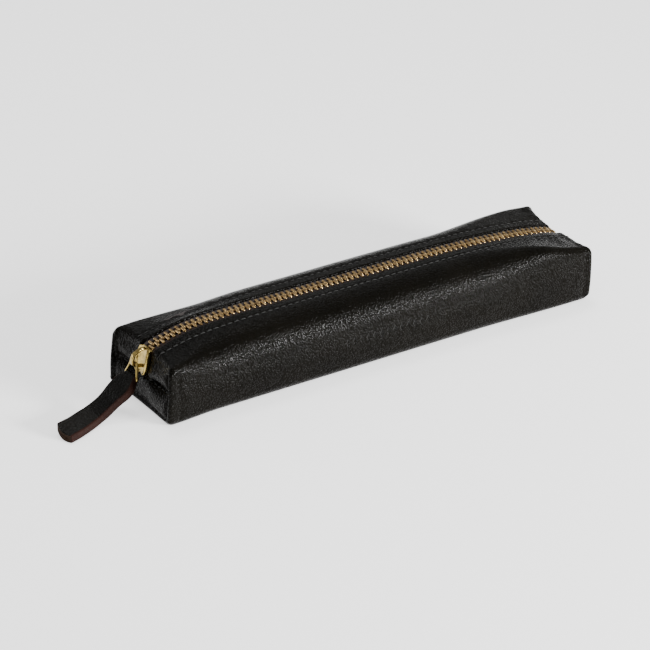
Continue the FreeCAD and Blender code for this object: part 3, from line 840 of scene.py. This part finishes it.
def stitches(line, tree, lift):
    """Short rounded threads along a line, lying on the surface, with their ends going into it."""
    points, _, at = follow(line, 0.1)
    verts, faces, centres = [], [], []
    sections, ring = 7, 8
    arches = [math.sin(math.pi * k / (sections - 1)) ** 0.5 for k in range(sections)]
    for begin in np.arange(1.0, at[-1] - STITCH_LENGTH, STITCH_PITCH):
        base = len(verts)
        spine, normals = [], []
        for k in range(sections):
            run = begin + STITCH_LENGTH * k / (sections - 1)
            probe = np.array([np.interp(run, at, points[:, c]) for c in range(3)])
            place, normal, *_ = tree.find_nearest(Vector(probe * MM))
            spine.append(np.array(place) / MM + np.array(normal) * (lift + STITCH_DIP * (arches[k] - 1)))
            normals.append(np.array(normal))
        spine = np.array(spine)
        along = unit(np.gradient(spine, axis=0))
        for k in range(sections):
            across = unit(np.cross(along[k], normals[k]))
            up = np.cross(across, along[k])
            size = THREAD_R * (0.55 + 0.45 * arches[k])
            for c in range(ring):
                angle = 2 * math.pi * c / ring
                verts.append(spine[k] + size * (1.1 * math.cos(angle) * across + math.sin(angle) * up))
            centres.append(spine[sections // 2])
        faces += tube_faces(sections, ring, start=base)
    return verts, faces, np.repeat(np.array(centres), ring, axis=0)


def build_threads():
    graph = bpy.context.evaluated_depsgraph_get()
    trees = {which: BVHTree.FromObject(leathers[which], graph) for which in SIDES}
    for which in SIDES:
        verts, faces, centres = stitches(surface_line(which, STITCH_Y), trees[which], TOP_LIFT[which])
        obj = outward(add_piece(f"topstitch_{which}", verts, faces, THREAD))
        bend_with_lip(obj, lip_share(centres))
        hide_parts(f"{which}_topstitch")
    for sign, name in ((-1, "near"), (1, "far")):
        halves = []
        for which, side in SIDES.items():
            line = np.array([[sign * 103.0, side * y, SEAM_Z] for y in np.linspace(1.5, 18, 40)])
            halves.append(stitches(line, trees[which], SEAM_LIFT)[:2])
        verts, faces = merged(*halves)
        obj = outward(add_piece(f"seam_thread_{name}", verts, faces, THREAD))
        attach(obj, "case")
        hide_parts(f"{name}_seam_thread")


build_threads()


# ---- slider, ring and strap ----


def in_slider(points):
    """(along the zip towards its tail, across, away from the case) to the case's axes."""
    points = np.asarray(points, float)
    return (SLIDER_AT + points[:, :1] * SLIDER_X + points[:, 1:2] * np.array([0, 1.0, 0])
            + points[:, 2:] * SLIDER_Z)


# half width of a plate, from the mouth to the tail
SLIDER_HALF = curve_through([(0.0, 3.3), (0.12, 3.95), (0.3, 4.3), (0.5, 4.2), (0.75, 3.9), (0.9, 3.75),
                             (1.0, 3.55)])
SLIDER_REACH, WIDEST = 6.0, 4.3        # half its length, and its greatest half width
CHANNEL, PLATE_TOP, SLOT = 1.55, 2.5, 0.45     # heights over the zip's middle: chain, plate, tape slot


def plate(upper):
    """One plate of the slider: two rounded lobes at the mouth, flanges down its sides, and a raised rim."""
    stations = 30
    verts = []
    rim_high = 0.75 if upper else 0.15
    for j in range(stations):
        p = j / (stations - 1)
        half = float(SLIDER_HALF(p))
        lift = rim_high * math.sin(math.pi * min(1.0, 0.12 + 0.95 * p)) ** 0.5
        profile = [(0.0, PLATE_TOP - 0.22), (half * 0.25, PLATE_TOP - 0.20), (half * 0.5, PLATE_TOP - 0.08),
                   (half - 1.35, PLATE_TOP + 0.10), (half - 0.95, PLATE_TOP + lift * 0.75),
                   (half - 0.6, PLATE_TOP + lift), (half - 0.25, PLATE_TOP + lift * 0.8),
                   (half - 0.02, PLATE_TOP + lift * 0.2), (half + 0.03, PLATE_TOP - 0.6),
                   (half, SLOT + 0.2), (half - 0.1, SLOT), (half - 0.3, SLOT), (half - 0.4, SLOT + 0.2),
                   (half - 0.4, CHANNEL - 0.1), (half - 0.5, CHANNEL), (half * 0.4, CHANNEL), (0.0, CHANNEL)]
        loop = profile + [(-v, w) for v, w in profile[-2:0:-1]]
        for v, w in loop:
            share = abs(v) / WIDEST
            mouth = -SLIDER_REACH + 1.3 * math.exp(-((v / 0.9) ** 2)) + 1.6 * max(0.0, share - 0.45) ** 2
            tail = SLIDER_REACH - 1.5 * share ** 2
            verts.append((mouth + (tail - mouth) * p, v, w if upper else -w))
    return verts, tube_faces(stations, len(loop))


def neck():
    """The wedge that joins the plates and parts the rows of teeth."""
    outline = (-5.2, -0.9), (-4.6, -1.15), (-2.4, -0.3), (-2.2, 0), (-2.4, 0.3), (-4.6, 1.15), (-5.2, 0.9)
    verts = [(u, v, w) for w in (-2.2, 2.2) for u, v in outline]
    return verts, tube_faces(2, len(outline))


def sweep(spine, section, facing):
    """Points and faces of closed sections along a spine.

    section(t) gives (side, up) pairs, for t from 0 to 1 along the spine; up lies towards facing."""
    spine = np.asarray(spine, float)
    along = unit(np.gradient(spine, axis=0))
    verts = []
    for k, centre in enumerate(spine):
        side = unit(np.cross(along[k], facing))
        up = np.cross(side, along[k])
        verts += [centre + a * side + b * up for a, b in section(k / (len(spine) - 1))]
    return verts, tube_faces(len(spine), len(verts) // len(spine))


def circle(radius, count=12):
    return [(radius * math.cos(2 * math.pi * k / count), radius * math.sin(2 * math.pi * k / count))
            for k in range(count)]


def brass_piece(name, verts, faces, body, node, rounded=False):
    obj = outward(add_piece(name, verts, faces, PALE_BRASS))
    if rounded:
        subdivide(obj)
    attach(obj, body)
    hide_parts(node)


BAIL_THICK = 0.95


def build_slider():
    verts, faces = merged(plate(True), plate(False), neck())
    brass_piece("slider_plates", in_slider(verts), faces, "slider", "slider_body", rounded=True)
    # a flat bail over the plate, upright at the mouth and sloping down to the tail
    side_line = spline([(-2.75, 0, 2.3), (-2.75, 0, 4.6), (-2.45, 0, 6.2), (-1.2, 0, 6.95), (0.6, 0, 7.0),
                        (2.0, 0, 6.6), (3.5, 0, 5.0), (4.5, 0, 3.4), (4.75, 0, 2.3)], 44)

    def bail_section(t):
        wide = 2.1 - 0.5 * smooth((t - 0.75) / 0.25) + 0.5 * smooth((0.12 - t) / 0.12)
        return [(b, a) for a, b in squarish(wide / 2, BAIL_THICK / 2, 0.45, 16)][::-1]

    verts, faces = sweep(side_line, bail_section, (0, 1.0, 0))
    brass_piece("slider_bail", in_slider(verts), faces, "slider", "slider_crown", rounded=True)


RING_LEAN = math.radians(16.2)
RING_DOWN = np.array([-math.sin(RING_LEAN), 0.0, -math.cos(RING_LEAN)])
RING_OUT = np.array([-math.cos(RING_LEAN), 0.0, math.sin(RING_LEAN)])
WIRE = 0.52                            # its radius


def build_ring():
    """A wire bent to a stirrup: legs and bar in one piece, and its top run, which is the pin."""
    half = [(-1.4, 0.0), (-1.7, 0.02), (-2.15, 0.15), (-2.5, 0.7), (-2.9, 1.9), (-3.7, 4.0), (-4.35, 5.55),
            (-4.35, 6.2), (-3.8, 6.45), (-2.4, 6.45)]
    path = half + [(0.0, 6.45)] + [(-y, d) for y, d in half[::-1]]
    spine = spline([PIN + np.array([0, y, 0]) + RING_DOWN * d for y, d in path], 120)
    verts, faces = sweep(spine, lambda t: circle(WIRE), RING_OUT)
    brass_piece("ring_wire", verts, faces, "pull_ring", "pull_ring")
    stations = 14
    run = [PIN + np.array([0, y, 0]) for y in np.linspace(-1.35, 1.35, stations)]

    def pin_section(t):
        """A circle, a little smaller at the first and last stations."""
        from_end = min(t, 1 - t) * (stations - 1)
        return circle(WIRE * (1 if from_end >= 1 else 0.9))

    verts, faces = sweep(run, pin_section, RING_OUT)
    brass_piece("ring_top_run", verts, faces, "link_pin", "link_pin")


STRAP_LOOP, STRAP_THICK, STRAP_WIDE, NECK_WIDE = 1.6, 3.6, 10.2, 7.6   # the loop's radius, then its sizes
STRAP_CORNER = 0.5                     # how much its edges are rounded off
PARTING, PARTING_DEPTH = 0.22, 0.14    # the line between its two layers: half width and depth


def build_strap():
    """A strip folded over the ring's bar and glued to itself, with painted edges and a cut tip."""
    path = spline([BAR + (1.45, 0, 0.95), BAR, (-112.8, -0.1, 12.1), (-117.2, -0.4, 8.9), (-120.8, -0.6, 6.2),
                   (-124.5, -0.9, 4.0), (-128.6, -1.6, 2.5), (-133.5, -3.4, 1.86), (-139.0, -6.0, 1.8),
                   (-145.2, -8.2, 1.8)], 110)
    run = run_along(path)
    verts = []
    along = unit(np.gradient(path, axis=0))
    sideways = unit(np.cross(np.array([0, 0, 1.0]), along))
    for centre, forward, across, from_loop in zip(path, along, sideways, run):
        to_tip = run[-1] - from_loop
        wide = NECK_WIDE + (STRAP_WIDE - NECK_WIDE) * smooth((from_loop - 1.6) / 4.0)
        wide += 0.8 * math.exp(-(((from_loop - 9.0) / 5.0) ** 2))
        thick = STRAP_THICK + 0.075 * math.sin(from_loop * 0.7)
        if from_loop < STRAP_LOOP:
            thick = 2 * math.sqrt(max(STRAP_LOOP ** 2 - (STRAP_LOOP - from_loop) ** 2, 0.09))
        elif from_loop < 5:
            thick = 2 * STRAP_LOOP + (STRAP_THICK - 2 * STRAP_LOOP) * smooth((from_loop - STRAP_LOOP) / 3.4)
        up = np.cross(forward, across)
        half, high, inner = wide / 2, thick / 2, wide / 2 - STRAP_CORNER
        top = [(v, high) for v in np.linspace(-inner, inner, 7)[1:-1]]
        edge = [(inner, high), (half - 0.15, high - 0.15), (half, high - STRAP_CORNER), (half, PARTING),
                (half - PARTING_DEPTH, 0.0), (half, -PARTING), (half, STRAP_CORNER - high),
                (half - 0.15, 0.15 - high), (inner, -high)]
        loop = top + edge + [(-v, -w) for v, w in top + edge]
        for v, w in loop:
            share = 2 * v / wide
            if v > 0:
                v += 1.3 * share * math.exp(-(((from_loop - 8.0) / 4.5) ** 2))
            bow = -1.3 * abs(share) ** 2.6 * smooth(1 - to_tip / 3.0)
            bow += 1.3 * (1 + share) * smooth(1 - to_tip / 12.0)
            twist = 1.4 * max(-share, 0.0) * smooth(1 - to_tip / 26.0)
            dip = 0.12 * smooth(1 - to_tip) * (1 if w > 0 else -1)
            verts.append(centre + across * v + up * (w - dip + twist) + forward * bow)
    rows, columns = len(path), len(loop)
    faces = grid_faces(rows, columns, closed=True)
    # the two edges are painted, and the cut tip is raw
    painted = [*range(5, 13), *range(19, 27)]
    kinds = [int(c in painted) for _ in range(rows - 1) for c in range(columns)]
    for ring, bulge, kind in ((0, -0.05, 0), (rows - 1, 0.05, 2)):
        rim_points = [ring * columns + c for c in range(columns)]
        faces += [(i, rim_points[c - columns + 1], len(verts)) for c, i in enumerate(rim_points)]
        kinds += [kind] * columns
        verts.append(np.mean([verts[i] for i in rim_points], axis=0) + along[ring] * bulge)
    verts = np.array(verts)
    unevenness = 0.10 * wobble(verts, 7.0, 21) + 0.04 * wobble(verts, 2.2, 22)
    verts[:, 2] += unevenness * smooth(verts[:, 2])
    obj = outward(add_piece("strap_leather_fold", verts, faces, [STRAP_BLACK, EDGE_PAINT, RAW_EDGE], kinds))
    subdivide(obj)
    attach(obj, "pull_strap")
    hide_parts("pull_strap")


build_slider()
build_ring()
build_strap()


# ---- stage, light and camera ----

FLOOR_HALF = 6.0
FLOOR_GREY, FLOOR_GLOW = 0.93, 1.1
SKY = 0.62
LIGHTS = {                             # direction, distance, size and power
    "key": ((0.407, -0.914, 0.22), 1.1, (0.34, 0.17), 36.0),
    "rim": ((-0.60, 0.80, 0.12), 1.2, (0.5, 0.2), 1.7),
    "overhead": ((0.1, 0.3, 0.95), 1.3, (0.35, 0.35), 5.0)}
VIEW_FROM = math.radians(-33.1), math.radians(27.0)    # azimuth from the front, and elevation
VIEW_DISTANCE, FOCAL_LENGTH = 1.1027, 145.7
LOOK_AT = Vector((-0.0170, 0, 0.0113))


def build_stage():
    mesh = bpy.data.meshes.new("floor")
    mesh.from_pydata([(x * FLOOR_HALF, y * FLOOR_HALF, 0) for x, y in ((-1, -1), (1, -1), (1, 1), (-1, 1))],
                     [], [(0, 1, 2, 3)])
    floor = new_object("floor", mesh)
    paint = Nodes("floor_paint")
    mesh.materials.append(paint.finish((FLOOR_GREY, FLOOR_GREY, FLOOR_GREY, 1), 0.9,
                                       Emission_Color=(1, 1, 1, 1), Emission_Strength=FLOOR_GLOW))


def area_light(name, direction, distance, size, power):
    light = bpy.data.lights.new(name, "AREA")
    light.shape = "RECTANGLE"
    light.size, light.size_y = size
    light.energy = power
    obj = new_object(name, light)
    towards = Vector(direction).normalized()
    obj.location = towards * distance + Vector((0, 0, 0.015))
    obj.rotation_euler = (-towards).to_track_quat("-Z", "Y").to_euler()


def build_light():
    world = bpy.data.worlds.new("studio")
    bpy.context.scene.world = world
    world.use_nodes = True
    background = world.node_tree.nodes["Background"]
    background.inputs["Color"].default_value = (1, 1, 1, 1)
    background.inputs["Strength"].default_value = SKY
    for name, setting in LIGHTS.items():
        area_light(name, *setting)


def build_camera():
    camera = new_object("camera", bpy.data.cameras.new("camera"))
    bpy.context.scene.camera = camera
    azimuth, elevation = VIEW_FROM
    back = Vector((math.sin(azimuth) * math.cos(elevation), -math.cos(azimuth) * math.cos(elevation),
                   math.sin(elevation)))
    camera.location = LOOK_AT + back * VIEW_DISTANCE
    camera.rotation_euler = (-back).to_track_quat("-Z", "Y").to_euler()
    camera.data.sensor_width = 36.0
    camera.data.lens = FOCAL_LENGTH
    camera.data.clip_start, camera.data.clip_end = 0.01, 30.0


build_stage()
build_light()
build_camera()
